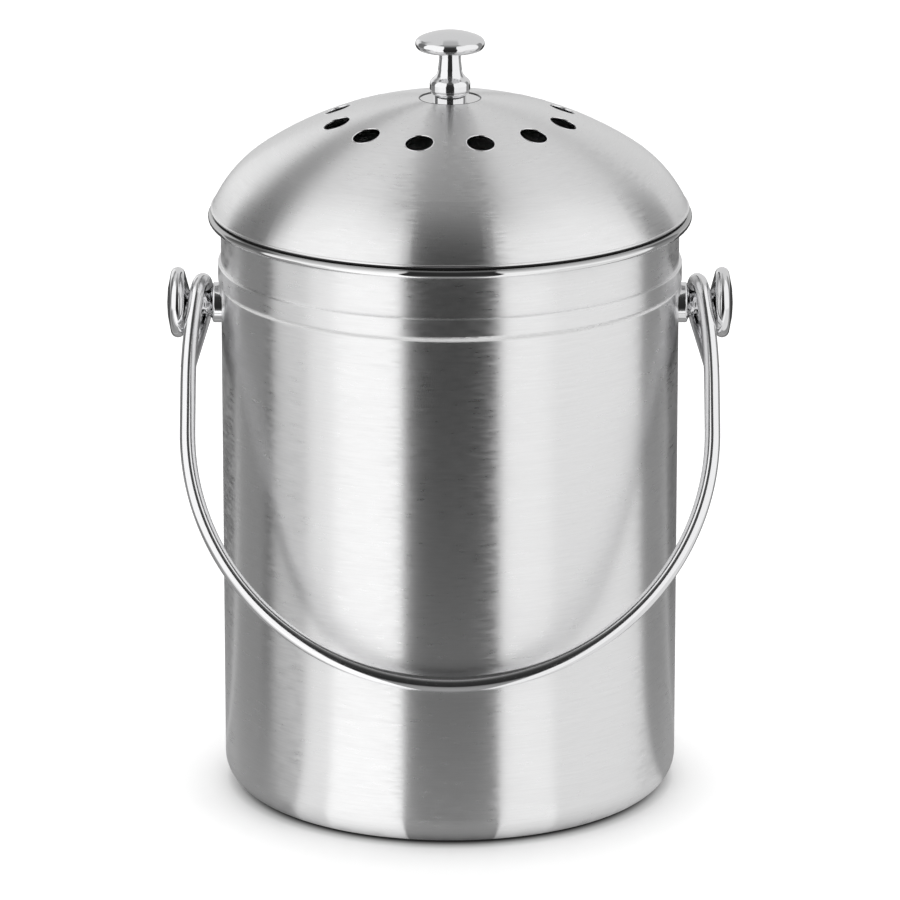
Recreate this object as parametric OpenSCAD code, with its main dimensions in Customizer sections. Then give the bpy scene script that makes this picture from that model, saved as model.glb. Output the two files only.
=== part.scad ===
// Countertop compost caddy: a drawn steel pail with a rolled rim and a
// pressed band, a wire bail that hooks over two turned side posts, and a
// vented domed lid that lifts off by its turned knob. A felt and carbon
// filter sits inside the lid's collar.
// Millimetres, +Z up. The origin is the middle of the base, on the table.
// The front, where the bail rests, is -Y. The side posts are on the X axis.

/* [Pail] */
// Outer radius of the straight wall
pail_r = 86.3; // [78:0.1:100]
// Height from the table to the top of the rolled rim
pail_h = 224; // [195:1:260]
// Thickness of the steel sheet in the pail and the lid
sheet = 0.6; // [0.5:0.05:0.9]
// Radius of the curve between the wall and the base
base_round = 11; // [6:0.5:16]
// Width of the flat ring that the pail stands on
foot_ring_w = 5.5; // [3:0.5:12]
// How far the middle of the base is pressed up
base_step = 1.5; // [0.8:0.1:3]

/* [Rolled rim and pressed band] */
// How far the rolled bead stands out from the wall
bead_w = 4.7; // [3.8:0.1:6]
// Height of the rolled bead, which is pressed a little flat
bead_h = 3.4; // [2.6:0.1:3.7]
// Slit left under the bead where the rolled edge ends
curl_gap = 0.5; // [0.3:0.1:0.9]
// Distance from the top of the rim down to the band's upper edge
band_drop = 19.2; // [15:0.2:26]
// Height of the band
band_w = 8.4; // [6:0.2:12]
// How far the band stands out from the wall
band_out = 1.1; // [0.7:0.1:2]
// Bevel on the band's crisp upper edge
band_edge = 0.3; // [0.1:0.1:0.6]
// Radius that rolls the band's lower edge into the wall
band_round = 1.8; // [1:0.1:2.6]

/* [Lid] */
// How far the lid's edge sits in from the outside of the rim
lid_inset = 1.1; // [0.6:0.1:2]
// Play between the rim and the seal when the lid rests
seat_gap = 0.15; // [0.1:0.05:0.3]
// Thickness of the seal
seal_t = 0.65; // [0.5:0.05:1.5]
// How far the seal's edge is tucked in under the lid's edge
seal_tuck = 0.8; // [0.5:0.1:1.5]
// Height of the curved shoulder above the lid's edge
side_rise = 20.6; // [17:0.2:26]
// Width of the curved shoulder, seen from above
shoulder_w = 17; // [13:0.5:20]
// Height of the shallow crown above the shoulder
crown_rise = 22.2; // [16:0.2:26]
// Radius of the rolled hem at the lid's edge
hem_r = 0.5; // [0.4:0.05:0.7]
// Depth of the collar that drops into the mouth
collar_h = 13; // [12:0.2:18]
// Clearance between the collar and the pail's wall
collar_clear = 0.8; // [0.5:0.1:1.5]
// Number of dimples pressed into the collar
dimple_n = 6; // [3:1:8]
// How far each dimple stands in from the collar
dimple_in = 0.8; // [0.5:0.1:1]

/* [Vents] */
// Number of vent holes
vent_n = 12; // [6:1:14]
// Diameter of a vent hole
vent_d = 10.3; // [6:0.1:12]
// Radius of the ring that the vents sit on
vent_ring_r = 43.8; // [36:0.2:52]

/* [Knob and side posts] */
// Radius of the lid knob's cap
cap_r = 13; // [11.5:0.1:15]
// Radius of the rounded edge of the knob's cap
cap_edge_r = 2.3; // [1.2:0.1:2.6]
// Height from the neck up to the widest line of the knob's cap
cap_under_h = 4.1; // [3.6:0.1:6]
// Height from the widest line up to the top of the knob's cap
cap_crown_h = 4.7; // [4:0.1:7]
// Radius of a side post's flatter cap
post_cap_r = 13.3; // [11.5:0.1:15]
// Radius of the blunt edge of a side post's cap
post_cap_edge_r = 2.7; // [1.6:0.1:3]
// Depth of a side post's cap from the neck to its widest line
post_cap_under_h = 4.6; // [3.6:0.1:6]
// Depth of a side post's cap from its widest line to its face
post_cap_crown_h = 4.1; // [3.6:0.1:6]
// Radius of the necks just under a cap
neck_r = 4; // [3.4:0.1:4.6]
// How much a neck widens towards its foot
neck_flare = 0.4; // [0:0.1:0.8]
// Radius of the hollow curve from the knob's neck into its swelling
knob_hollow_r = 5; // [3:0.1:6]
// Radius of the hollow curve from a side post's neck into its collar
post_hollow_r = 3.3; // [2.4:0.1:4]
// Radius of the swelling at the foot of the knob and posts
collar_r = 7.6; // [7:0.05:8.5]
// Height of the lid knob from the pad to the cap's underside
knob_neck_h = 17; // [15:0.2:20]
// Height of the swelling on the lid knob
knob_swell_h = 6.9; // [5.6:0.1:7.4]
// Height of the small foot under the swelling
knob_foot_h = 1.3; // [0.8:0.1:2]
// Radius of the flat pad pressed in the top of the lid
pad_r = 11.4; // [9.5:0.1:14]
// Depth of the step round the pad
pad_step = 0.3; // [0.2:0.05:0.4]
// Height of a side post's collar from the wall
post_collar_h = 3.3; // [2.8:0.1:4.5]
// Clear distance between the posts and the band above them
post_gap = 0.95; // [0.5:0.05:6]

/* [Bail] */
// Diameter of the bail's wire
bail_d = 5.8; // [4.6:0.1:6.4]
// Distance from the post's axis to the middle of the grip
bail_l = 151.5; // [145:0.5:175]
// Clear gap between a leg and the rolled rim
leg_gap = 4.3; // [3.4:0.1:8]
// Length over which each leg bends in to its post
lean_l = 35; // [26:1:44]
// Sideways room for the wire on a post's neck
neck_play = 2.7; // [2.2:0.1:4]
// Clearance between the hook and the post's neck
hook_gap = 0.65; // [0.55:0.05:1.2]
// Distance from the post's axis down to the end of the hook
hook_tail = 30; // [24:0.5:31]
// Gap between the resting bail and the pail
rest_gap = 0.3; // [0.2:0.05:1]

/* [Screws and washers] */
// Diameter of the screws
screw_d = 4; // [3:0.5:4]
// Depth of the tapped hole in a knob or post
tap_depth = 9; // [7:0.5:9.5]
// Radius of a screw's head
head_r = 3.8; // [3.4:0.1:4.4]
// Height of a screw's head
head_h = 2.3; // [1.8:0.1:2.6]
// Radius of a washer
washer_r = 5; // [4.6:0.1:6]
// Thickness of a washer
washer_t = 0.8; // [0.5:0.1:1]
// Play between a post's washer and the wall that it seats on
seat_play = 0.02; // [0.02:0.01:0.05]

/* [Filter] */
// Thickness of the carbon layer
carbon_t = 5; // [3:0.5:5]
// Thickness of the felt layer under it
felt_t = 1.8; // [1:0.2:2]
// Clearance between the filter and the collar's dimples
filter_clear = 0.5; // [0.4:0.1:2]

/* [Hidden] */
$fn = 96;
eps = 0.01;
// Pail
mouth_r = pail_r - sheet;
bead_r = bead_h / 2;
rim_r = pail_r + bead_w;
bead_z = pail_h - bead_r;
band_top = pail_h - band_drop;
band_low = band_top - band_w;
panel_r = pail_r - base_round - foot_ring_w;
// Side posts
post_z = band_low - post_gap - collar_r;
post_neck_h = post_collar_h + bail_d + neck_play;
post_round = 0.9;
knob_round = 2.5;
// Lid
edge_r = rim_r - lid_inset;
edge_z = pail_h + seat_gap + seal_t;
join_r = edge_r - shoulder_w;
join_z = edge_z + side_rise;
crown_z = join_z + crown_rise;
crown_r = (join_r * join_r + crown_rise * crown_rise) / (2 * crown_rise);
join_a = asin(join_r / crown_r);
crown_c = [0, crown_z - crown_r];
// The shoulder's arc leaves the crown smoothly and ends at the lid's edge
drop = [edge_r - join_r, edge_z - join_z];
shoulder_r = (drop * drop) / (2 * (drop * [-sin(join_a), -cos(join_a)]));
shoulder_c = [join_r, join_z] - shoulder_r * [sin(join_a), cos(join_a)];
pad_z = crown_c[1] + sqrt(crown_r * crown_r - pad_r * pad_r) - pad_step;
vent_a = asin(vent_ring_r / crown_r);
lid_collar_r = mouth_r - collar_clear;
lid_collar_in = lid_collar_r - sheet;
collar_z = edge_z - collar_h;
dimple_r = 3;
dimple_z = collar_z + dimple_r - 0.5;
// Filter
filter_r = lid_collar_in - dimple_in - filter_clear;
filter_z = dimple_z + sqrt(dimple_r * dimple_r - pow(dimple_r - dimple_in, 2)) + 0.3;
// Bail: s runs down the legs from the post's axis, n is square to them
wire_r = bail_d / 2;
leg_x = rim_r + leg_gap + wire_r;
cap_x = pail_r + post_neck_h;
eye_x = cap_x - 0.9 * wire_r;
n_front = neck_r + hook_gap + wire_r;
n_back = collar_r + 0.9 * wire_r;
hook_r = (n_front + n_back) / 2;
hook_s = 0.2;
back_x = pail_r + post_collar_h + 1.2 * wire_r;
hook_tilt = atan((eye_x - back_x) / (n_front + n_back));
hook_turn = 25;
lean_a = 2 * atan((leg_x - eye_x) / (lean_l - hook_s));
joint_gap = 0.15;
arc_r = leg_x;
arc_s = bail_l - arc_r;
rest_a = asin((pail_r + wire_r + rest_gap) / norm([bail_l, n_front])) - atan(n_front / bail_l);
// Screws
screw_r = screw_d / 2;
hole_r = screw_r + 0.15;
tap_r = screw_r + 0.03;

// Point where a line from p just touches the underside of a circle
function touch(p, c, r) =
    let (v = c - p, l = norm(v), a = atan2(v[1], v[0]) - asin(r / l))
    p + sqrt(l * l - r * r) * [cos(a), sin(a)];

// Wall and base outline, grown inwards by i
module cup_outline(i, top) {
    translate([0, base_round]) square([pail_r - i, top - base_round]);
    translate([0, i]) square([pail_r - base_round, base_round]);
    translate([pail_r - base_round, base_round]) circle(base_round - i);
}

// Raised middle of the base, grown upwards by i
module base_panel(i) {
    k = panel_r + i * tan(22.5);
    polygon([[0, i - 2], [k, i - 2], [k, i], [k - base_step, base_step + i], [0, base_step + i]]);
}

// The band's bulge, grown inwards by i
module band_outline(i) {
    r = pail_r + band_out - i;
    q = band_round - i;
    low = band_low + band_round;
    top = band_top - i;
    polygon([
        [pail_r - i - eps, low], [r, low],
        [r, top - band_edge], [r - band_edge, top], [pail_r - i - eps, top]]);
    intersection() {
        translate([r - q, low]) circle(q);
        translate([pail_r - i - eps, low - q]) square([q + 2, q + eps]);
    }
}

// Round of the rolled bead, grown inwards by i
module bead_round(i) {
    for (x = [bead_r, bead_w - bead_r]) translate([pail_r + x, bead_z]) circle(bead_r - i);
    translate([pail_r + bead_r, bead_z - bead_r + i]) square([bead_w - bead_h, bead_h - 2 * i]);
}

// Rolled bead at the mouth, open by a slit where the sheet ends
module bead_outline() {
    difference() {
        bead_round(0);
        bead_round(sheet);
        translate([pail_r, bead_z - bead_h]) square([sheet + curl_gap, bead_h]);
    }
    translate([mouth_r, bead_z]) intersection() {
        square([sheet + bead_r, bead_r]);
        translate([sheet + bead_r, 0]) circle(sheet + bead_r);
    }
}

module pail_shell() {
    color([0.72, 0.73, 0.74])
    difference() {
        rotate_extrude($fn = 180) difference() {
            union() {
                difference() {
                    cup_outline(0, bead_z);
                    base_panel(0);
                }
                band_outline(0);
            }
            difference() {
                cup_outline(sheet, pail_h);
                base_panel(sheet);
            }
            band_outline(sheet);
        }
        for (a = [0, 180]) rotate([0, 0, a])
            translate([pail_r - 4, 0, post_z]) rotate([0, 90, 0]) cylinder(r = hole_r, h = 8);
    }
    color([0.8, 0.81, 0.82]) rotate_extrude($fn = 180) rolled_rim();
}

// Bead and the short lip that carries the wall up into it
module rolled_rim() {
    bead_outline();
}

// Turned cap of radius r and edge radius e, z is the height of its underside.
// It is under mm deep up to its widest line, and crown mm from there to its top.
module cap_outline(z, r, e, under, crown) {
    c = [r - e, z + under];
    t = touch([neck_r, z], c, e);
    top_r = (c[0] * c[0] + crown * crown - e * e) / (2 * (crown - e));
    top_c = [0, c[1] + crown - top_r];
    ray = (c - top_c) / norm(c - top_c);
    polygon([[0, z], [neck_r, z], t, c, [0, c[1]]]);
    translate(c) circle(e);
    intersection() {
        translate(top_c) circle(top_r);
        polygon([[0, c[1]], c, top_c + ray * (top_r + crown), [0, top_c[1] + top_r + crown]]);
    }
}

// Neck from a swelling that ends at height high, rounded by q, up to a cap at
// height b. A hollow curve of radius f runs smoothly into the swelling's round.
module neck_outline(high, q, f, b) {
    foot = neck_r + neck_flare;
    c = [collar_r - q, high - q];
    h = [foot + f, c[1] + sqrt(pow(q + f, 2) - pow(foot + f - c[0], 2))];
    t = c + (h - c) * q / (q + f);
    difference() {
        translate([0, c[1]]) square([t[0], h[1] - c[1]]);
        translate(h) circle(f);
    }
    polygon([[0, c[1]], [foot, h[1]], [neck_r, b - 1.4], [neck_r, b], [0, b]]);
}

// Swelling of radius collar_r between two heights, rounded by q
module swell_outline(low, high, q) {
    translate([0, low]) square([collar_r - q, high - low]);
    translate([0, low + q]) square([collar_r, high - low - 2 * q]);
    translate([collar_r - q, low + q]) circle(q);
    translate([collar_r - q, high - q]) circle(q);
}

module right_half(h) {
    intersection() {
        children();
        translate([0, -4]) square([cap_r + post_cap_r, h + 8]);
    }
}

module lid_knob() {
    color([0.82, 0.83, 0.84])
    translate([0, 0, pad_z]) difference() {
        rotate_extrude() right_half(40) {
            union() {
                square([collar_r - 1.4, knob_foot_h + 1]);
                swell_outline(knob_foot_h, knob_foot_h + knob_swell_h, knob_round);
                neck_outline(knob_foot_h + knob_swell_h, knob_round, knob_hollow_r, knob_neck_h);
                cap_outline(knob_neck_h, cap_r, cap_edge_r, cap_under_h, cap_crown_h);
            }
        }
        translate([0, 0, -1]) cylinder(r = tap_r, h = tap_depth + 1, $fn = 48);
    }
}

// Post on the +X side, its foot cut to sit on the round wall
module post() {
    color([0.82, 0.83, 0.84])
    difference() {
        translate([pail_r, 0, post_z]) rotate([0, 90, 0]) rotate_extrude() right_half(40) {
            union() {
                translate([0, -0.6]) square([collar_r, 1.2]);
                swell_outline(-2, post_collar_h, post_round);
                neck_outline(post_collar_h, post_round, post_hollow_r, post_neck_h);
                cap_outline(post_neck_h, post_cap_r, post_cap_edge_r, post_cap_under_h, post_cap_crown_h);
            }
        }
        translate([0, 0, post_z - 20]) cylinder(r = pail_r, h = 40, $fn = 180);
        translate([pail_r - 2, 0, post_z]) rotate([0, 90, 0]) cylinder(r = tap_r, h = tap_depth + 2, $fn = 48);
    }
}

module right_post() { post(); }
module left_post() { rotate([0, 0, 180]) post(); }

// Pan head screw along +Z: the head's underside is at 0, the shank runs up
module screw(shank) {
    ball = (head_r * head_r + pow(head_h - 1, 2)) / (2 * (head_h - 1));
    color([0.78, 0.79, 0.8])
    difference() {
        union() {
            cylinder(r = screw_r, h = shank, $fn = 48);
            translate([0, 0, -1]) cylinder(r = head_r, h = 1, $fn = 64);
            intersection() {
                translate([0, 0, ball - head_h]) sphere(ball, $fn = 96);
                translate([0, 0, -head_h]) cylinder(r = head_r, h = head_h - 0.5, $fn = 64);
            }
        }
        for (a = [0, 90]) rotate([0, 0, a])
            translate([-head_r * 0.5, -0.4, -head_h - 1]) cube([head_r, 0.8, 2.1]);
    }
}

// Screw on the +X side, put in from inside the pail
module post_screw() {
    translate([mouth_r - washer_t, 0, post_z]) rotate([0, 90, 0]) screw(tap_depth + washer_t + sheet - 1);
}

module right_post_screw() { post_screw(); }
module left_post_screw() { rotate([0, 0, 180]) post_screw(); }

// Washer pressed to the inside curve of the wall
module post_washer() {
    color([0.6, 0.61, 0.62])
    difference() {
        intersection() {
            translate([mouth_r - washer_t, 0, post_z]) rotate([0, 90, 0]) cylinder(r = washer_r, h = washer_t + 1, $fn = 64);
            translate([0, 0, post_z - 2 * washer_r]) cylinder(r = mouth_r - seat_play, h = 4 * washer_r, $fn = 720);
        }
        translate([mouth_r - 3, 0, post_z]) rotate([0, 90, 0]) cylinder(r = hole_r, h = 6, $fn = 48);
    }
}

module right_post_washer() { post_washer(); }
module left_post_washer() { rotate([0, 0, 180]) post_washer(); }

// One side of the bail in the legs' own plane: straight leg, long bend, hook.
// Here X is sideways, +Y is square to the legs and Z runs up the legs.
module bail_side() {
    bend_r = (lean_l - hook_s) / sin(lean_a);
    translate([leg_x, n_front, -arc_s]) cylinder(r = wire_r, h = arc_s - lean_l - joint_gap, $fn = 64);
    translate([leg_x, n_front, -lean_l]) wire_joint();
    translate([leg_x - bend_r, n_front, -lean_l]) rotate([90, 0, 0]) wire_arc(bend_r, lean_a);
    translate([eye_x, n_front, -hook_s]) wire_joint();
    translate([eye_x, n_front, -hook_s]) rotate([0, -lean_a, 0]) rotate([0, 0, -hook_tilt])
        hook(hook_r / cos(hook_tilt));
}

// Bent wire, from the +X direction round towards +Y, a hair short at both ends
module wire_arc(r, a) {
    short = joint_gap / r * 180 / PI;
    rotate([0, 0, short]) rotate_extrude(angle = a - 2 * short, $fn = 96)
        translate([r, 0]) circle(wire_r, $fn = 64);
}

// Ball that closes the wire where one bend runs into the next
module wire_joint() {
    sphere(wire_r + 0.02, $fn = 64);
}

// Hook of radius r that passes over the post: it starts at the origin, rises
// along Z, turns over towards -Y and runs down behind as a short tail
module hook(r) {
    turn = 180 + hook_turn;
    tail_l = (hook_tail - wire_r - hook_s + r * sin(turn)) / cos(hook_turn);
    translate([0, -r, 0]) rotate([90, 0, 90]) wire_arc(r, turn);
    translate([0, -r, 0]) rotate([turn, 0, 0]) translate([0, r, 0]) {
        wire_joint();
        translate([0, 0, joint_gap]) cylinder(r = wire_r, h = tail_l - 2 * joint_gap, $fn = 64);
        translate([0, 0, tail_l]) wire_joint();
    }
}

module bail() {
    color([0.8, 0.81, 0.82])
    translate([0, 0, post_z]) rotate([-rest_a, 0, 0]) mirror([0, 1, 0]) {
        translate([0, n_front, -arc_s]) rotate([90, 0, 0]) rotate([0, 0, 180])
            rotate_extrude(angle = 180, $fn = 360) translate([arc_r, 0]) circle(wire_r, $fn = 64);
        bail_side();
        mirror([1, 0, 0]) bail_side();
    }
}

// Crown and shoulder of the lid, grown inwards by i, above height z
module dome_outline(i, z) {
    ray = [sin(join_a), cos(join_a)];
    far = crown_c + ray * (crown_r + shoulder_w);
    intersection() {
        translate([0, z]) square([edge_r + 5, crown_z - z + 5]);
        union() {
            intersection() {
                translate(crown_c) circle(crown_r - i, $fn = 360);
                polygon([crown_c, far, [0, far[1] + crown_rise]]);
            }
            intersection() {
                translate(shoulder_c) circle(shoulder_r - i, $fn = 240);
                polygon([crown_c, far, [edge_r + crown_r, far[1]], [edge_r + crown_r, crown_c[1]]]);
            }
        }
    }
}

module hem_outline() {
    translate([edge_r - hem_r + 0.1, edge_z + hem_r]) circle(hem_r, $fn = 32);
}

module lid_dome() {
    color([0.72, 0.73, 0.74])
    difference() {
        rotate_extrude($fn = 180) {
            difference() {
                dome_outline(0, edge_z + hem_r);
                dome_outline(sheet, edge_z);
                translate([0, pad_z]) square([pad_r, 10]);
            }
            translate([0, pad_z - sheet]) square([pad_r + 0.5, sheet]);
            hem_outline();
        }
        translate([0, 0, pad_z - 5]) cylinder(r = hole_r, h = 10, $fn = 48);
        for (k = [0 : vent_n - 1]) rotate([0, 0, (k + 0.5) * 360 / vent_n])
            translate([0, 0, crown_c[1]]) rotate([0, vent_a, 0])
                translate([0, 0, crown_r - 8]) cylinder(d = vent_d, h = 16, $fn = 64);
    }
}

// Ring welded inside the lid: a flange under the dome and a collar below it
module lid_collar() {
    color([0.68, 0.69, 0.7])
    difference() {
        union() {
            rotate_extrude($fn = 180) difference() {
                union() {
                    translate([lid_collar_in, collar_z]) square([sheet, collar_h]);
                    intersection() {
                        translate([lid_collar_in, edge_z]) square([20, sheet]);
                        dome_outline(sheet, edge_z);
                    }
                }
                hem_outline();
            }
            for (k = [0 : dimple_n - 1]) rotate([0, 0, (k + 0.5) * 360 / dimple_n]) intersection() {
                translate([lid_collar_in + dimple_r - dimple_in, 0, dimple_z]) sphere(dimple_r, $fn = 48);
                translate([0, 0, collar_z]) cylinder(r = lid_collar_in + sheet / 2, h = collar_h, $fn = 180);
            }
        }
        for (k = [0 : dimple_n - 1]) rotate([0, 0, (k + 0.5) * 360 / dimple_n])
            translate([lid_collar_in + dimple_r - dimple_in, 0, dimple_z]) sphere(dimple_r - sheet, $fn = 48);
    }
}

module lid_seal() {
    color([0.05, 0.05, 0.05])
    rotate_extrude($fn = 180)
        translate([lid_collar_r, edge_z - seal_t]) square([edge_r - seal_tuck - lid_collar_r, seal_t]);
}

module lid_knob_screw() {
    translate([0, 0, pad_z - sheet - washer_t]) screw(tap_depth + washer_t + sheet - 1);
}

module lid_knob_washer() {
    color([0.6, 0.61, 0.62])
    translate([0, 0, pad_z - sheet - washer_t]) difference() {
        cylinder(r = washer_r, h = washer_t, $fn = 64);
        translate([0, 0, -1]) cylinder(r = hole_r, h = washer_t + 2, $fn = 48);
    }
}

// Filter pad: carbon layer on a felt layer, one piece that comes out whole
module filter_layer(z, t) {
    translate([0, 0, z]) cylinder(r = filter_r, h = t, $fn = 180);
}

module filter_felt() {
    color([0.75, 0.75, 0.73]) filter_layer(filter_z, felt_t);
}

module filter_carbon() {
    color([0.08, 0.08, 0.08]) filter_layer(filter_z + felt_t, carbon_t);
}

pail_shell();
left_post();
right_post();
left_post_screw();
right_post_screw();
left_post_washer();
right_post_washer();
bail();
lid_dome();
lid_collar();
lid_seal();
lid_knob();
lid_knob_screw();
lid_knob_washer();
filter_carbon();
filter_felt();
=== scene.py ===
# %% [markdown]
# # A steel compost caddy, dressed for a studio picture
# The solids of the caddy come from the imported model: a drawn pail, a wire bail
# on two turned posts, and a vented lid. This file gives them their metal, felt
# and rubber, and sets a small white studio round them.

# %% Load the imported model
import math
import bpy
import bmesh
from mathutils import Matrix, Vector, noise


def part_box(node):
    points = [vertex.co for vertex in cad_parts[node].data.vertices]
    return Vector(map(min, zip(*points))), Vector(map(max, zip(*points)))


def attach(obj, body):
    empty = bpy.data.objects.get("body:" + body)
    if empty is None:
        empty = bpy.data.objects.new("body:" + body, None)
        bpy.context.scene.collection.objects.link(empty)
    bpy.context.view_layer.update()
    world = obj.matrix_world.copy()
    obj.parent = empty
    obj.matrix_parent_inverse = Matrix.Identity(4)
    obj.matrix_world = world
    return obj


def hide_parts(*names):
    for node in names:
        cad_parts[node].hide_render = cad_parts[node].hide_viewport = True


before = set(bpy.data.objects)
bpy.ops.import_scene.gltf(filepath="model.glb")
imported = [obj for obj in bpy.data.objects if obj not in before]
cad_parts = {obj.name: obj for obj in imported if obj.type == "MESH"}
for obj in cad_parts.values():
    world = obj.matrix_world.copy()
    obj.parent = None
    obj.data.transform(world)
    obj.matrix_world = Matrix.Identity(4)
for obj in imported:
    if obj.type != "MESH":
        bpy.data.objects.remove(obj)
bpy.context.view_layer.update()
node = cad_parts
scene = bpy.context.scene

# %% [markdown]
# ## Camera
# A photograph of a product is taken from far off with a long lens, so that its
# upright sides stay nearly parallel. The lens length and the tilt here were
# found by fitting known rings of the caddy, the rim and the band, to the
# picture. A plain camera with no shift and no depth of field is enough.

# %% Make the camera
LENS_MM, CAMERA_TILT = 263.26, 0.286
lens = bpy.data.cameras.new("product_lens")
lens.sensor_width = 36.0
lens.lens = LENS_MM
camera = bpy.data.objects.new("product_camera", lens)
camera.location = (0.0, -2.4, 0.8354)
camera.rotation_euler = (math.pi / 2 - CAMERA_TILT, 0.0, 0.0)
scene.collection.objects.link(camera)
scene.camera = camera
scene.view_settings.view_transform = "Standard"
print("lens", lens.lens, "mm, tilted", round(math.degrees(CAMERA_TILT), 1), "degrees down")

# %% [markdown]
# ## Helpers for node materials
# A material is a small graph. Each helper below adds one node, sets its
# sockets and links, and returns it, so that the recipes further down read as
# short lists of steps. An alternative is to copy a material from a library
# file, but then nothing would show how the finish is made.

# %% Node helpers
def new_material(name):
    """An empty node material; returns the material and its graph."""
    mat = bpy.data.materials.new(name)
    mat.use_nodes = True
    mat.node_tree.nodes.clear()
    return mat, mat.node_tree


def add(tree, kind, settings=None, **inputs):
    """One node. A value that is a socket is linked, any other is set."""
    made = tree.nodes.new(kind)
    for key, value in (settings or {}).items():
        setattr(made, key, value)
    for key, value in inputs.items():
        place = int(key[1:]) if key[0] == "i" and key[1:].isdigit() else key.replace("_", " ")
        if isinstance(value, bpy.types.NodeSocket):
            tree.links.new(value, made.inputs[place])
        else:
            made.inputs[place].default_value = value
    return made


def maths(tree, operation, *values):
    """A Math node; its inputs are numbered, because they share one name."""
    made = add(tree, "ShaderNodeMath", {"operation": operation}, **{f"i{k}": v for k, v in enumerate(values)})
    return made.outputs[0]


def ramp(tree, factor, stops):
    """A colour ramp from (place, grey) pairs."""
    made = add(tree, "ShaderNodeValToRGB", Fac=factor)
    band = made.color_ramp
    band.elements[0].position, band.elements[1].position = stops[0][0], stops[-1][0]
    for element, (place, grey) in zip((band.elements[0], band.elements[1]), (stops[0], stops[-1])):
        element.color = (grey, grey, grey, 1)
    for place, grey in stops[1:-1]:
        band.elements.new(place).color = (grey, grey, grey, 1)
    return made.outputs["Color"]


def output(tree, shader):
    add(tree, "ShaderNodeOutputMaterial", Surface=shader)


def from_axis(tree):
    """Distance from the pail's axis, in metres."""
    xyz = add(tree, "ShaderNodeSeparateXYZ", Vector=add(tree, "ShaderNodeTexCoord").outputs["Object"])
    flat = add(tree, "ShaderNodeCombineXYZ", X=xyz.outputs["X"], Y=xyz.outputs["Y"])
    return add(tree, "ShaderNodeVectorMath", {"operation": "LENGTH"}, i0=flat.outputs[0]).outputs["Value"]


print("helpers for node graphs are ready")

# %% [markdown]
# ## White studio
# Catalogue pictures stand on white that has no edge. The world is white to the
# camera and to anything that mirrors it, but it lights matt surfaces a little
# less, so that soft shadows keep some depth. The floor is a matt white sheet
# that also glows a little to the same rays, which takes it to the white of the
# background and leaves the soft shadow under the pail. In the narrow gap under
# the rounded foot a contact shadow is painted on the sheet, because a
# mirror-bright foot would throw more light in there than a real one does.

# %% World and floor
def seen_rays(tree):
    """1 for camera, glossy and transmitted rays, 0 for the light on matt surfaces."""
    path = add(tree, "ShaderNodeLightPath")
    first = maths(tree, "MAXIMUM", path.outputs["Is Camera Ray"], path.outputs["Is Glossy Ray"])
    return maths(tree, "MAXIMUM", first, path.outputs["Is Transmission Ray"])


world = bpy.data.worlds.new("white_room")
scene.world = world
world.use_nodes = True
world.node_tree.nodes.clear()
wt = world.node_tree
WORLD_ON_MATT = 0.78
level = maths(wt, "ADD", WORLD_ON_MATT, maths(wt, "MULTIPLY", seen_rays(wt), 1 - WORLD_ON_MATT))
add(wt, "ShaderNodeOutputWorld", Surface=add(
    wt, "ShaderNodeBackground", Color=(1, 1, 1, 1), Strength=level).outputs[0])

floor_mat, ft = new_material("white_sheet")
# Painted contact shadow: hardly any light gets in under the pail's rounded foot, so the sheet's colour and glow are
# darkened there
painted_contact_shadow = ramp(ft, from_axis(ft), [
    (0.078, 0.05), (0.0795, 0.08), (0.082, 0.55), (0.085, 0.80), (0.092, 0.90), (0.11, 1.0)])
matt = add(ft, "ShaderNodeBsdfDiffuse", Color=add(
    ft, "ShaderNodeMix", {"data_type": "RGBA", "blend_type": "MULTIPLY"},
    Factor=1.0, i6=painted_contact_shadow, i7=(0.95, 0.95, 0.95, 1)).outputs[2])
glow = add(ft, "ShaderNodeEmission", Color=painted_contact_shadow, Strength=maths(ft, "MULTIPLY", seen_rays(ft), 0.245))
output(ft, add(ft, "ShaderNodeAddShader", i0=matt.outputs[0], i1=glow.outputs[0]).outputs[0])

bm = bmesh.new()
bmesh.ops.create_circle(bm, cap_ends=True, segments=96, radius=9.0)
floor_mesh = bpy.data.meshes.new("floor")
bm.to_mesh(floor_mesh)
bm.free()
floor = bpy.data.objects.new("floor", floor_mesh)
floor.location.z = -0.0002
floor.data.materials.append(floor_mat)
scene.collection.objects.link(floor)
print("floor radius 9 m, world strength 1 to the camera")

# %% [markdown]
# ## Light tent and cards
# Polished and brushed steel show no light of their own, they show the room. A
# photographer puts the pail in a pale tent and pins cards inside it: a black
# one in front, beside the camera and up over the top, gives the dark stripe
# down the middle, white ones to its left and right give the two bright
# stripes, and grey ones at the sides and behind shade the edges. Each card is
# a window of turn and height on the tent, seen from a point halfway out to the
# front wall, where a round mirror gathers what it shows. The turn is 0 at the
# front and grows to the right, and the height is 0 at the table's edge. A mat
# on the table carries the same cards on to the pail. Lamps of different sizes
# could do the same, but cards give clean edges and no noise.

# %% Cards on the tent
FOCUS = (0.0, -0.044, 0.15)
TENT_GREY = 0.70
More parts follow.
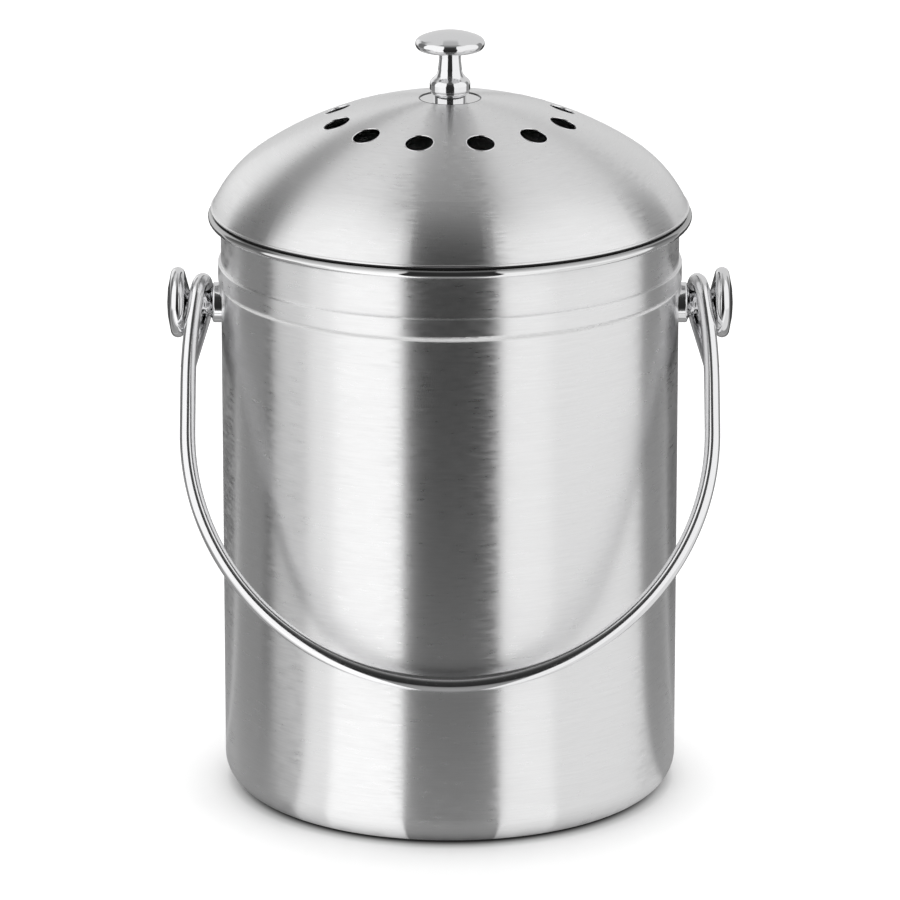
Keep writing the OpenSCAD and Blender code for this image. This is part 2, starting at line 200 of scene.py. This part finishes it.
# name: turn from, turn to, height from, height to, grey
cards = {
    "white_left": (-102, -20, -9, 64, 1.12),
    "white_right": (20, 109, -9, 62, 1.02),
    "low_white_left": (-62, -20, -90, -9, 1.20),
    "low_pale_left": (-76, -62, -90, -9, 0.85),
    "low_grey_left": (-97, -76, -90, -9, 0.36),
    "low_white_right": (20, 54, -90, -9, 1.00),
    "low_pale_right": (54, 107, -90, -9, 0.80),
    "dark_left": (-130, -97, -9, 40, 0.17),
    "low_middle_left": (-130, -106, -90, -9, 0.29),
    "low_line_left": (-106, -97, -90, -9, 0.07),
    "low_dark_behind_left": (-186, -133, -90, -4, 0.08),
    "white_behind_left": (-162, -134, 4, 27, 0.95),
    "high_grey_behind_left": (-158, -118, 33, 47, 0.30),
    "grey_right": (109, 134, -90, 32, 0.27),
    "low_dark_behind_right": (136, 186, -90, -4, 0.05),
    "dark_overhead": (-190, 190, 73, 100, 0.28)}
print(len(cards), "cards, besides the black one")

# %% [markdown]
# ## What the tent shows in each direction
# The cards could be real sheets of mesh, but their soft edges are easier to
# draw in one material. A window is 1 inside a card and fades to 0 at its
# edges, and blending by that window lays one grey over another.

# %% Soft windows
def window(tree, value, low, high, soft, soft_high=None):
    """1 where a value lies between two levels, with soft edges."""
    soft_high = soft_high or soft
    up = add(tree, "ShaderNodeMapRange", {"interpolation_type": "SMOOTHSTEP"},
             Value=value, From_Min=low - soft, From_Max=low + soft).outputs[0]
    down = add(tree, "ShaderNodeMapRange", {"interpolation_type": "SMOOTHSTEP"},
               Value=value, From_Min=high - soft_high, From_Max=high + soft_high, To_Min=1.0, To_Max=0.0).outputs[0]
    return maths(tree, "MULTIPLY", up, down)


def blend(tree, share, under, over):
    """Mixes two plain numbers."""
    made = add(tree, "ShaderNodeMix")
    for place, value in ((0, share), (2, under), (3, over)):
        if isinstance(value, bpy.types.NodeSocket):
            tree.links.new(value, made.inputs[place])
        else:
            made.inputs[place].default_value = value
    return made.outputs[0]


print("cards can be laid with soft edges")

# %% [markdown]
# ## Lay the cards on the tent
# The graph turns each point into a turn and a height, starts from the tent's
# own grey, and lays the cards over it one by one. The black card comes last,
# because it lies in front of all the others, and it narrows and grows paler on
# its way over the top.

# %% Lay the cards
def tent_greys(tree):
    """Grey of the tent or the mat at this point, from its direction seen from the focus."""
    place = add(tree, "ShaderNodeTexCoord").outputs["Object"]
    away = add(tree, "ShaderNodeVectorMath", {"operation": "SUBTRACT"}, i0=place, i1=FOCUS).outputs[0]
    xyz = add(tree, "ShaderNodeSeparateXYZ", Vector=away)
    side, front, up = xyz.outputs["X"], maths(tree, "MULTIPLY", xyz.outputs["Y"], -1.0), xyz.outputs["Z"]
    flat = add(tree, "ShaderNodeCombineXYZ", X=side, Y=front)
    level = add(tree, "ShaderNodeVectorMath", {"operation": "LENGTH"}, i0=flat.outputs[0]).outputs["Value"]
    turn = maths(tree, "DEGREES", maths(tree, "ARCTAN2", side, front))
    height = maths(tree, "DEGREES", maths(tree, "ARCTAN2", up, level))
    grey = TENT_GREY
    for turn_low, turn_high, low, high, shade in cards.values():
        on_card = maths(tree, "MULTIPLY", window(tree, turn, turn_low, turn_high, 2.5),
                        window(tree, height, low, high, 3.0, 3.0 if high < 0 else 6.0))
        grey = blend(tree, on_card, grey, shade)
    # The black card runs up in front and narrows as it passes over the top
    raised = maths(tree, "MAXIMUM", up, 0.0)
    reach = maths(tree, "SQRT", maths(tree, "ADD", maths(tree, "MULTIPLY", level, level),
                                      maths(tree, "MULTIPLY", raised, raised)))
    over = maths(tree, "DEGREES", maths(tree, "ARCTAN2", raised, front))
    width = add(tree, "ShaderNodeMapRange", Value=over, From_Min=0.0, From_Max=125.0, To_Min=0.415, To_Max=0.10)
    aside = maths(tree, "ABSOLUTE", maths(tree, "SUBTRACT", maths(tree, "DIVIDE", side, reach), 0.010))
    edge = maths(tree, "SUBTRACT", aside, width.outputs[0])
    inside = add(tree, "ShaderNodeMapRange", {"interpolation_type": "SMOOTHSTEP"},
                 Value=edge, From_Min=-0.012, From_Max=0.012, To_Min=1.0, To_Max=0.0).outputs[0]
    inside = maths(tree, "MULTIPLY", inside, window(tree, over, -90.0, 125.0, 5.0))
    black = ramp(tree, maths(tree, "DIVIDE", over, 180.0),
                 [(0.0, 0.025), (0.25, 0.04), (0.36, 0.13), (0.42, 0.24), (0.5, 0.34), (0.58, 0.42), (0.67, 0.50)])
    return blend(tree, inside, grey, black)


tent_mat, tt = new_material("tent_with_cards")
output(tt, add(tt, "ShaderNodeEmission", Strength=tent_greys(tt), Color=(1, 1, 1, 1)).outputs[0])
print("tent graph:", len(tt.nodes), "nodes")

# %% [markdown]
# ## Hang the tent and lay the mat
# The tent is a half ball round the pail, and the mat is a flat ring on the
# table that starts under the foot. Both glow with the greys of the cards. Only
# reflections see them, so they throw no shadow and hide nothing from the
# camera.

# %% Hang the tent

# Close to the pail the mat is paler, because the white sheet shows there, and
# under the foot a painted shadow of the pail makes it dark
table_mat, mt = new_material("cards_on_the_table")
out = from_axis(mt)
near = ramp(mt, out, [
    (0.09, 0.36), (0.16, 0.32), (0.22, 0.29), (0.30, 0.16), (0.39, 0.07), (0.50, 0.03), (0.8, 0.015)])
shade = ramp(mt, out, [(0.078, 0.06), (0.081, 0.25), (0.084, 0.75), (0.10, 1.0)])
lit = maths(mt, "MULTIPLY", maths(mt, "MAXIMUM", tent_greys(mt), near), shade)
output(mt, add(mt, "ShaderNodeEmission", Strength=lit, Color=(1, 1, 1, 1)).outputs[0])


def ring_mesh(name, loops, segments=128):
    """A surface through round loops, each given as (radius, height)."""
    verts, faces = [], []
    for r, z in loops:
        for k in range(segments):
            a = 2 * math.pi * k / segments
            verts.append((r * math.cos(a), r * math.sin(a), z))
    for i in range(len(loops) - 1):
        for k in range(segments):
            n = (k + 1) % segments
            faces.append((i * segments + k, i * segments + n,
                          (i + 1) * segments + n, (i + 1) * segments + k))
    mesh = bpy.data.meshes.new(name)
    mesh.from_pydata(verts, [], faces)
    mesh.update()
    return mesh


TENT_R, MAT_R, MAT_Z = 1.5, 0.06, 0.0004
arch = [(TENT_R * math.cos(math.radians(a)), TENT_R * math.sin(math.radians(a))) for a in range(0, 90, 5)]
for name, loops, mat in (
        ("tent", arch + [(0.001, TENT_R)], tent_mat),
        ("table_mat", [(MAT_R, MAT_Z), (TENT_R, MAT_Z)], table_mat)):
    card = bpy.data.objects.new(name, ring_mesh(name, loops))
    card.data.materials.append(mat)
    scene.collection.objects.link(card)
    card.visible_camera = card.visible_diffuse = card.visible_shadow = False
    card.visible_transmission = card.visible_volume_scatter = False
print("tent of", TENT_R, "m, mat from", MAT_R, "m outwards")

# %% [markdown]
# ## Lamps
# Three large soft lamps give the matt pieces their shape and the pail its
# faint shadow. They are kept out of reflections, because the cards already
# draw those. Their power is low: the white room does most of the work, and a
# colour then renders about as it is written.

# %% Lamps
def soft_lamp(name, place, size, power):
    """A square lamp that looks at the middle of the pail."""
    light = bpy.data.lights.new(name, "AREA")
    light.shape, light.size, light.energy = "SQUARE", size, power
    lamp = bpy.data.objects.new(name, light)
    lamp.location = place
    lamp.rotation_euler = (Vector((0, 0, 0.12)) - Vector(place)).to_track_quat("-Z", "Y").to_euler()
    lamp.visible_camera = lamp.visible_glossy = False
    scene.collection.objects.link(lamp)


soft_lamp("lamp_left", (-1.5, -1.0, 1.3), 1.2, 6.0)
soft_lamp("lamp_right", (1.5, -0.9, 1.2), 1.2, 4.0)
soft_lamp("lamp_top", (0.0, 0.9, 2.0), 1.2, 8.0)
print("three soft lamps")

# %% [markdown]
# ## Brushed steel
# The pail and the lid are brushed while they spin, so every scratch runs round
# the axis. Such a surface blurs reflections up and down but keeps them sharp
# from side to side, which draws tall stripes. Anisotropic roughness does this:
# a radial tangent gives the direction round the Z axis, and a quarter turn
# puts the wide blur across the scratches. Painting stripes would look right
# from one side only. Fine noise, stretched round the axis, varies the
# roughness, the tone and the direction of the blur a little, as real scratches
# do.

# %% Draw the scratches
def brush_lines(tree, fine, scale_round):
    """Noise drawn out round the Z axis. On a wall it changes with height, on
    the lid with the distance from the middle, so one recipe suits both."""
    xyz = add(tree, "ShaderNodeSeparateXYZ", Vector=add(tree, "ShaderNodeTexCoord").outputs["Object"])
    turn = maths(tree, "ARCTAN2", xyz.outputs["X"], xyz.outputs["Y"])
    out = from_axis(tree)
    along = maths(tree, "MULTIPLY", maths(tree, "SUBTRACT", xyz.outputs["Z"], out), fine)
    wave = add(tree, "ShaderNodeCombineXYZ", X=maths(tree, "MULTIPLY", maths(tree, "SINE", turn), scale_round),
               Y=maths(tree, "MULTIPLY", maths(tree, "COSINE", turn), scale_round), Z=along)
    made = add(tree, "ShaderNodeTexNoise", {"noise_dimensions": "3D"},
               Vector=wave.outputs[0], Scale=1.0, Detail=3.0)
    return made.outputs["Fac"], xyz.outputs["Z"], out


def spread(tree, value, low, high):
    """Maps noise, which mostly lies from 0.3 to 0.7, to a small range round a level."""
    return add(tree, "ShaderNodeMapRange", Value=value,
               From_Min=0.3, From_Max=0.7, To_Min=low, To_Max=high).outputs[0]


print("noise for scratches is ready")

# %% [markdown]
# ## Metal under the scratches
# The noise feeds a Principled shader at full metal. It varies the roughness,
# the tone, a very shallow bump and the direction of the blur. A mask for the
# polished places lowers the roughness and flattens the scratches there, and a
# second one mixes in a matt surface where the metal is rubbed. The anisotropy
# is one number for the whole piece, so it is set on the shader itself.

# %% Brushed steel recipe
POLISHED_ROUGH = 0.07


def brushed_steel(name, grey, rough, polished, line_depth=0.10, anisotropic=0.97, scuffed=None, shade=None):
    """polished and scuffed take the graph, the height and the distance out, and
    return 1 where the piece is polished bright or rubbed matt. shade gives how
    bright the metal stays at each height."""
    mat, tree = new_material(name)
    lines, height, out = brush_lines(tree, 2600.0, 5.0)
    streaks, _, _ = brush_lines(tree, 900.0, 14.0)
    broad, _, _ = brush_lines(tree, 90.0, 1.0)
    bright = polished(tree, height, out)
    worn = maths(tree, "ADD", spread(tree, streaks, rough - 0.05, rough + 0.05),
                 spread(tree, broad, -0.012, 0.012))
    rough_now = add(tree, "ShaderNodeMix", Factor=bright, i2=worn, i3=POLISHED_ROUGH).outputs[0]
    tint = add(tree, "ShaderNodeMix", {"data_type": "RGBA"},
               Factor=maths(tree, "MULTIPLY", maths(tree, "ADD", lines, streaks), 0.5))
    tint.inputs[6].default_value = (grey * 0.84, grey * 0.84, grey * 0.843, 1)
    tint.inputs[7].default_value = (grey * 1.06, grey * 1.06, grey * 1.062, 1)
    colour = tint.outputs[2]
    # Painted shade: where a shade is given, the colour is multiplied down by it, as on the rim's top under the lid
    if shade:
        colour = add(tree, "ShaderNodeMix", {"data_type": "RGBA", "blend_type": "MULTIPLY"}, Factor=1.0,
                     i6=colour, i7=shade(tree, height)).outputs[2]
    depth = maths(tree, "MULTIPLY", maths(tree, "SUBTRACT", 1.0, bright), line_depth)
    bump = add(tree, "ShaderNodeBump", Strength=depth, Distance=0.0002, Height=lines)
    # Scratches aren't quite parallel, so each streak turns the blur a little
    xyz = add(tree, "ShaderNodeSeparateXYZ", Vector=add(tree, "ShaderNodeTexCoord").outputs["Object"])
    across = add(tree, "ShaderNodeCombineXYZ", X=maths(tree, "DIVIDE", xyz.outputs["X"], out),
                 Y=maths(tree, "DIVIDE", xyz.outputs["Y"], out), Z=-1.0)
    sway = add(tree, "ShaderNodeVectorMath", {"operation": "SCALE"}, i0=across.outputs[0])
    tree.links.new(spread(tree, streaks, -0.05, 0.05), sway.inputs["Scale"])
    tangent = add(tree, "ShaderNodeTangent", {"direction_type": "RADIAL", "axis": "Z"})
    turned = add(tree, "ShaderNodeVectorMath", {"operation": "ADD"}, i0=tangent.outputs[0], i1=sway.outputs[0])
    steel = add(tree, "ShaderNodeBsdfPrincipled", Base_Color=colour, Metallic=1.0, Roughness=rough_now,
                Anisotropic=anisotropic, Anisotropic_Rotation=0.25, Tangent=turned.outputs[0], Normal=bump.outputs[0])
    surface = steel.outputs[0]
    if scuffed:
        rubbed = add(tree, "ShaderNodeBsdfDiffuse", Color=(0.78, 0.78, 0.78, 1), Roughness=0.5)
        surface = add(tree, "ShaderNodeMixShader", i0=maths(tree, "MULTIPLY", scuffed(tree, height, out), 0.8),
                      i1=surface, i2=rubbed.outputs[0]).outputs[0]
    output(tree, surface)
    return mat


print("brushed steel recipe is ready")

# %% [markdown]
# ## Steel of the pail, the lid and the collar
# One recipe gives three steels. Each gets masks from the height above the table
# and the distance from the axis, in metres. The rolled rim is polished, and its
# top is darker, because the lid keeps the light off it. The roll under the
# pressed band is rubbed matt where hands and cloths touch it. On the lid, the
# flat pad and the hem are polished. The collar is hidden, so it stays duller.

# %% Mix the three steels
RIM_LOW, RIM_SHADE_LOW, RIM_SHADE_HIGH = 0.2203, 0.2225, 0.2232
ROLL_LOW, ROLL_HIGH = 0.1960, 0.1977
POLISHED_PAD_R, HEM_TOP = 0.0114, 0.2252


def rim(tree, height, out):
    return window(tree, height, RIM_LOW, 0.3, 0.0003)


def rim_shade(tree, height):
    """The lid shades the top of the rolled rim."""
    return add(tree, "ShaderNodeMapRange", Value=height, From_Min=RIM_SHADE_LOW, From_Max=RIM_SHADE_HIGH,
               To_Min=1.0, To_Max=0.5).outputs[0]


def band_roll(tree, height, out):
    return window(tree, height, ROLL_LOW, ROLL_HIGH, 0.0003, 0.0008)


def pad_and_hem(tree, height, out):
    return maths(tree, "MAXIMUM", window(tree, out, -1.0, POLISHED_PAD_R, 0.0001),
                 window(tree, height, 0.1, HEM_TOP, 0.0001))


pail_steel = brushed_steel("pail_steel", 0.90, 0.32, rim, scuffed=band_roll, shade=rim_shade)
lid_steel = brushed_steel("lid_steel", 0.90, 0.32, pad_and_hem)
collar_steel = brushed_steel("collar_steel", 0.72, 0.42, lambda tree, height, out: 0.0, 0.03, 0.6)
print("brushed steel:", pail_steel.name, lid_steel.name, collar_steel.name)

# %% [markdown]
# ## Polished chrome
# The knob, the posts and the bail are turned or drawn, polished and plated.
# Chrome is nearly a mirror with a cool, slightly dark tone. A very small
# roughness that varies over the surface, and a faint ripple, keep it from
# looking like glass: even good plating shows the polishing wheel.

# %% Chrome recipe
def chrome(name, grey, rough):
    """Plated metal, nearly a mirror; rough is its middle roughness."""
    mat, tree = new_material(name)
    place = add(tree, "ShaderNodeTexCoord").outputs["Object"]
    haze = add(tree, "ShaderNodeTexNoise", Vector=place, Scale=420.0, Detail=4.0)
    ripple = add(tree, "ShaderNodeTexNoise", Vector=place, Scale=160.0, Detail=1.0)
    level = spread(tree, haze.outputs["Fac"], rough * 0.7, rough * 1.4)
    bump = add(tree, "ShaderNodeBump", Strength=0.012, Distance=0.0002, Height=ripple.outputs["Fac"])
    output(tree, add(tree, "ShaderNodeBsdfPrincipled", Base_Color=(grey, grey, grey * 1.01, 1), Metallic=1.0,
                     Roughness=level, Normal=bump.outputs[0]).outputs[0])
    return mat


knob_chrome = chrome("knob_chrome", 0.84, 0.06)
bail_chrome = chrome("bail_chrome", 0.84, 0.10)
screw_steel = chrome("screw_steel", 0.62, 0.32)
print("chrome:", knob_chrome.name, bail_chrome.name, "and the screws' steel:", screw_steel.name)

# %% [markdown]
# ## Black seal
# The seal is a thin ring of soft black rubber between the lid and the rim.
# Rubber is matt and never quite even, so its grey and its roughness wander a
# little, and a fine grain breaks the highlight.

# %% Rubber recipe
seal_rubber, rt = new_material("seal_rubber")
grain = add(rt, "ShaderNodeTexNoise", Vector=add(rt, "ShaderNodeTexCoord").outputs["Object"],
            Scale=900.0, Detail=3.0)
tone = ramp(rt, grain.outputs["Fac"], [(0.3, 0.008), (0.7, 0.016)])
rub = add(rt, "ShaderNodeBump", Strength=0.15, Distance=0.0001, Height=grain.outputs["Fac"])
output(rt, add(rt, "ShaderNodeBsdfPrincipled", Base_Color=tone,
               Roughness=spread(rt, grain.outputs["Fac"], 0.6, 0.8), Normal=rub.outputs[0]).outputs[0])
print("rubber:", seal_rubber.name)

# %% [markdown]
# ## Felt and carbon
# The filter is needled felt: a black layer full of carbon, bonded to an
# off-white one. Needled fibres lie in all directions, so two noises at the
# scale of fibres and tufts, as bump and as tone, read as felt, and a little
# sheen lifts the edge as loose fibres do.

# %% Felt recipe
def needled_felt(name, dark, light, sheen):
    """Felt between a dark and a light colour; sheen lifts its edges."""
    mat, tree = new_material(name)
    place = add(tree, "ShaderNodeTexCoord").outputs["Object"]
    fibre = add(tree, "ShaderNodeTexNoise", Vector=place, Scale=1500.0, Detail=6.0, Distortion=2.0)
    tuft = add(tree, "ShaderNodeTexVoronoi", {"feature": "F1"}, Vector=place, Scale=420.0)
    both = maths(tree, "MULTIPLY", fibre.outputs["Fac"], maths(tree, "ADD", tuft.outputs["Distance"], 0.4))
    tone = add(tree, "ShaderNodeMix", {"data_type": "RGBA"}, Factor=spread(tree, both, 0.0, 1.0))
    tone.inputs[6].default_value, tone.inputs[7].default_value = (*dark, 1), (*light, 1)
    bump = add(tree, "ShaderNodeBump", Strength=0.6, Distance=0.0006, Height=both)
    output(tree, add(tree, "ShaderNodeBsdfPrincipled", Base_Color=tone.outputs[2], Roughness=0.95,
                     Sheen_Weight=sheen, Normal=bump.outputs[0]).outputs[0])
    return mat


carbon_felt = needled_felt("carbon_felt", (0.006, 0.006, 0.006), (0.022, 0.022, 0.022), 0.05)
white_felt = needled_felt("white_felt", (0.48, 0.47, 0.44), (0.74, 0.73, 0.69), 0.3)
print("felt:", carbon_felt.name, white_felt.name)

# %% [markdown]
# ## Dress the solids
# Each solid keeps its own shape and only gets a finish. Setting the material
# on the object's slot leaves the mesh as it was packed.

# %% Give each solid its finish
finish_of = {
    "pail_shell": pail_steel, "lid_dome": lid_steel, "lid_collar": collar_steel,
    "left_post": knob_chrome, "right_post": knob_chrome, "lid_knob": knob_chrome, "bail": bail_chrome,
    "left_post_screw": screw_steel, "right_post_screw": screw_steel, "lid_knob_screw": screw_steel,
    "left_post_washer": screw_steel, "right_post_washer": screw_steel, "lid_knob_washer": screw_steel,
    "lid_seal": seal_rubber}
for name, mat in finish_of.items():
    for place in node[name].material_slots:
        place.link = "OBJECT"
        place.material = mat
print("dressed", len(finish_of), "solids")

# %% [markdown]
# ## Bail
# The bail is one steel wire, bent cold over round formers: a half circle for
# the hand, two straight legs, a long bend in to each post, and a hook that
# turns over the post's neck in a tilted plane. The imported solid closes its
# bends with small balls, and in chrome even a tiny step shows as a lump. So
# the wire that is seen is swept in one piece along the same middle line. A
# bevelled curve would do too, but it can twist where the path turns in space.
# Here each ring of points is carried on from the last one with no twist. The
# tails end a little short of the solid's, so that they stay behind the legs.

# %% Sweep the wire
def smooth_piece(name, mesh, mat):
    """An object in the scene with smooth faces and one finish."""
    for face in mesh.polygons:
        face.use_smooth = True
    piece = bpy.data.objects.new(name, mesh)
    piece.data.materials.append(mat)
    scene.collection.objects.link(piece)
    return piece


def tube(name, path, radius, sides=32):
    """A round wire along a path, with half balls as its ends."""
    ways = [(path[min(i + 1, len(path) - 1)] - path[max(i - 1, 0)]).normalized() for i in range(len(path))]
    side = ways[0].orthogonal().normalized()
    rings = []
    for here, way in zip(path, ways):
        side = (side - way * side.dot(way)).normalized()
        rings.append((here, way, side, 1.0))
    cap = [(math.sin(math.radians(a)), math.cos(math.radians(a))) for a in (18, 36, 54, 72, 88)]
    first, last = rings[0], rings[-1]
    rings = [(first[0] - first[1] * radius * out, first[1], first[2], size) for out, size in reversed(cap)] + rings
    rings += [(last[0] + last[1] * radius * out, last[1], last[2], size) for out, size in cap]
    verts, faces = [], []
    for here, way, side, size in rings:
        up = way.cross(side)
        for k in range(sides):
            a = 2 * math.pi * k / sides
            verts.append(here + (side * math.cos(a) + up * math.sin(a)) * radius * size)
    for i in range(len(rings) - 1):
        for k in range(sides):
            n = (k + 1) % sides
            faces.append((i * sides + k, i * sides + n, (i + 1) * sides + n, (i + 1) * sides + k))
    faces += [tuple(range(sides - 1, -1, -1)), tuple(len(verts) - sides + k for k in range(sides))]
    mesh = bpy.data.meshes.new(name)
    mesh.from_pydata(verts, [], faces)
    return mesh


print("a tube can be swept along any path")

# %% [markdown]
# ## Path of the bail
# The wire's middle line is worked out for one side, flat as if the bail lay on
# a bench, and then mirrored and tipped to the angle at which it hangs. Doing
# it in this order keeps each bend a plain arc with a radius that can be read.

# %% Lay out the bail
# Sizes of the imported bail, in metres
POST_Z, WIRE_R, LEG_X, EYE_X = 0.18785, 0.0029, 0.0982, 0.09549
ARC_S, LEAN_L, HOOK_S, N_FRONT, TAIL_L = 0.0533, 0.035, 0.0002, 0.00755, 0.0238
LEAN_A, TILT, REST_A = math.radians(8.905), math.radians(7.73), math.radians(33.307)
hook_r = 0.00888 / math.cos(TILT)
bend_r = (LEAN_L - HOOK_S) / math.sin(LEAN_A)


def bail_side():
    """Half of the wire, as (aside, forward, along the legs), from the grip to the tail."""
    line = []
    for k in range(61):
        a = math.radians(90 * k / 60)
        line.append(Vector((LEG_X * math.sin(a), N_FRONT, -ARC_S - LEG_X * math.cos(a))))
    for k in range(13):
        a = LEAN_A * k / 12
        line.append(Vector((LEG_X - bend_r * (1 - math.cos(a)), N_FRONT,
                            -LEAN_L + bend_r * math.sin(a))))
    for k in range(1, 67):
        a = math.radians(205) * min(k, 60) / 60
        run = TAIL_L * max(k - 60, 0) / 6
        y = -hook_r + hook_r * math.cos(a) - math.sin(a) * run
        z = hook_r * math.sin(a) + math.cos(a) * run
        x, y = y * math.sin(TILT), y * math.cos(TILT)
        x, z = (x * math.cos(LEAN_A) - z * math.sin(LEAN_A),
                x * math.sin(LEAN_A) + z * math.cos(LEAN_A))
        line.append(Vector((EYE_X + x, N_FRONT + y, z - HOOK_S)))
    return line


right_half = bail_side()
left_half = [Vector((-p.x, p.y, p.z)) for p in right_half]
middle_line = [Vector((p.x, -p.y * math.cos(REST_A) + p.z * math.sin(REST_A),
                       p.y * math.sin(REST_A) + p.z * math.cos(REST_A) + POST_Z))
               for p in list(reversed(left_half)) + right_half[1:]]
wire = smooth_piece("bail_wire", tube("bail_wire", middle_line, WIRE_R), bail_chrome)
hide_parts("bail")
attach(wire, "bail")
wire_length = sum((b - a).length for a, b in zip(middle_line, middle_line[1:]))
print("wire of", round(wire_length * 1000), "mm")

# %% [markdown]
# ## Edges of the vents
# A punch leaves each hole with a small rolled edge, and polishing makes it
# shine, so every vent is outlined by a thin bright line. The twelve edges are
# short outlines spun round each vent's own axis, which stands square to the
# crown of the lid. They are one piece, because they belong to the lid.

# %% Spin an edge round each vent
CROWN_R, CROWN_Z, VENT_RING_R, VENT_R, VENTS = 0.13079, 0.13681, 0.0438, 0.00515, 12
# The lip's outline as (outwards, up) in millimetres from the hole's edge
lip = [(0.45, -0.06), (0.36, 0.05), (0.22, 0.10), (0.08, 0.07), (-0.02, -0.04), (-0.06, -0.2), (-0.06, -0.62)]
verts, faces, around = [], [], 64
for k in range(VENTS):
    turn = 2 * math.pi * (k + 0.5) / VENTS
    lean = math.asin(VENT_RING_R / CROWN_R)
    axis = Vector((math.sin(lean) * math.cos(turn), math.sin(lean) * math.sin(turn), math.cos(lean)))
    one = Vector((math.cos(lean) * math.cos(turn), math.cos(lean) * math.sin(turn), -math.sin(lean)))
    two = axis.cross(one)
    for out, rise in lip:
        r = VENT_R + out * 0.001
        high = math.sqrt(CROWN_R ** 2 - r ** 2) + rise * 0.001
        for i in range(around):
            a = 2 * math.pi * i / around
            verts.append(Vector((0, 0, CROWN_Z)) + axis * high
                         + (one * math.cos(a) + two * math.sin(a)) * r)
    base = k * len(lip) * around
    for j in range(len(lip) - 1):
        for i in range(around):
            n = (i + 1) % around
            faces.append((base + j * around + i, base + j * around + n,
                          base + (j + 1) * around + n, base + (j + 1) * around + i))
mesh = bpy.data.meshes.new("vent_edges")
mesh.from_pydata(verts, [], faces)
vent_edges = smooth_piece("vent_edges", mesh, chrome("punched_edge", 0.95, 0.12))
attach(vent_edges, "lid")
print("edges round", VENTS, "vents")

# %% [markdown]
# ## Step round the lid's pad
# The flat pad under the knob is pressed a little into the crown, and the step
# round it shows as a thin dark line. It is a narrow ring spun from a short
# outline that follows the step, and its metal is painted nearly black as
# painted shade in the step, which draws that line.

# %% Spin the step
PAD_R, PAD_Z = 0.0114, 0.2668
step = [(PAD_R - 0.0001, PAD_Z + 0.00002), (PAD_R - 0.00004, PAD_Z + 0.0003),
        (PAD_R + 0.0001, PAD_Z + 0.00035), (PAD_R + 0.00035, PAD_Z + 0.00029),
        (PAD_R + 0.0004, PAD_Z + 0.0002)]
# Painted shade: the step's metal is near black (grey 0.12), which draws the dark line round the pad
pad_edge = smooth_piece("pad_edge", ring_mesh("pad_edge", step), chrome("step_painted_shade", 0.12, 0.25))
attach(pad_edge, "lid")
print("step round the pad, radius", PAD_R * 1000, "mm")

# %% [markdown]
# ## Filter pad
# A felt disc isn't a sharp cylinder: its cut edge is rounded and a little
# ragged, and its faces rise and fall by a few tenths of a millimetre. The disc
# is spun from a short outline with rounded corners, cut into many small faces,
# and moved by noise. It stays inside the plain disc that it replaces.

# %% Spin the two felt layers
def felt_disc(name, solid, mat, edge):
    """A soft disc inside a plain solid; edge is how far its rounded rim reaches in."""
    low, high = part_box(solid)
    radius, z0, z1 = (high.x - low.x) / 2, low.z, high.z
    outline = [(0.0005, z0)] + [((radius - edge) * k / 16, z0) for k in range(1, 17)]
    for k in range(1, 9):
        a = math.pi * k / 8
        outline.append((radius - edge + edge * math.sin(a),
                        (z0 + z1) / 2 - (z1 - z0) / 2 * math.cos(a)))
    outline += [((radius - edge) * k / 16, z1) for k in range(15, 0, -1)] + [(0.0005, z1)]
    piece = bpy.data.objects.new(name, ring_mesh(name, outline, 192))
    for v in piece.data.vertices:
        mid = Vector((v.co.x, v.co.y, (z0 + z1) / 2))
        v.co = v.co + (mid - v.co) * (0.06 + 0.10 * (noise.noise(v.co * 90) + 0.5))
        flat = 1 - 0.0015 - 0.004 * (noise.noise(Vector((v.co.x, v.co.y, z0)) * 260) + 0.5)
        v.co.x, v.co.y = v.co.x * flat, v.co.y * flat
    bm = bmesh.new()
    bm.from_mesh(piece.data)
    bmesh.ops.holes_fill(bm, edges=[e for e in bm.edges if e.is_boundary])
    bmesh.ops.recalc_face_normals(bm, faces=bm.faces)
    bm.to_mesh(piece.data)
    bm.free()
    piece.data.materials.append(mat)
    for face in piece.data.polygons:
        face.use_smooth = True
    scene.collection.objects.link(piece)
    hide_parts(solid)
    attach(piece, "filter")
    print(name, "radius", round(radius * 1000, 1), "mm, thick", round((z1 - z0) * 1000, 1), "mm")


felt_disc("carbon_layer", "filter_carbon", carbon_felt, 0.0012)
felt_disc("felt_layer", "filter_felt", white_felt, 0.0005)
